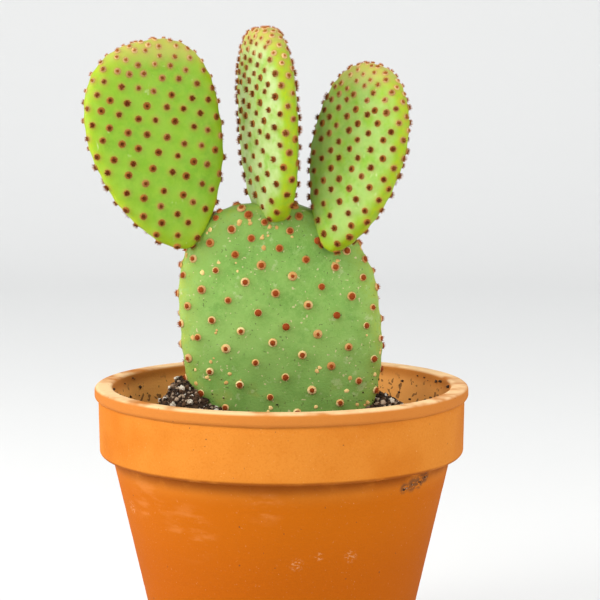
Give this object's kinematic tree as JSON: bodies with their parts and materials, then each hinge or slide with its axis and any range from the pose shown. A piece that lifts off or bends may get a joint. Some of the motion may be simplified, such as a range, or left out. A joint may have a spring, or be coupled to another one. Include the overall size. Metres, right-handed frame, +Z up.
{
  "type": "potted paddle cactus",
  "caption": "Paddle cactus with young pads growing on one broad old pad, standing in soil in a round clay flowerpot.",
  "frame": {"origin": "centre of the pot's foot, on the surface that it stands on", "axes": "+Z up along the pot's axis; -Y is the side that the old pad's broad face looks to; +X is to the right of someone who looks at that face"},
  "size_m": [0.1518, 0.15, 0.2766],
  "materials": {
    "terracotta": "matte",
    "potting_soil": "matte",
    "old_pad_skin": "satin",
    "young_pad_skin": "satin",
    "perlite": "matte",
    "bark": "matte"
  },
  "bodies": {
    "root": {"pot": "terracotta", "soil": "potting_soil", "base_pad": "old_pad_skin", "left_pad": "young_pad_skin", "middle_pad": "young_pad_skin", "right_pad": "young_pad_skin", "perlite_grain_1": "perlite", "perlite_grain_2": "perlite", "perlite_grain_3": "perlite", "perlite_grain_4": "perlite", "perlite_grain_5": "perlite", "perlite_grain_6": "perlite", "perlite_grain_7": "perlite", "perlite_grain_8": "perlite", "perlite_grain_9": "perlite", "perlite_grain_10": "perlite", "perlite_grain_11": "perlite", "perlite_grain_12": "perlite", "bark_chip_1": "bark", "bark_chip_2": "bark", "bark_chip_3": "bark", "bark_chip_4": "bark", "bark_chip_5": "bark", "bark_chip_6": "bark", "bark_chip_7": "bark", "bark_chip_8": "bark"}
  },
  "joints": []
}
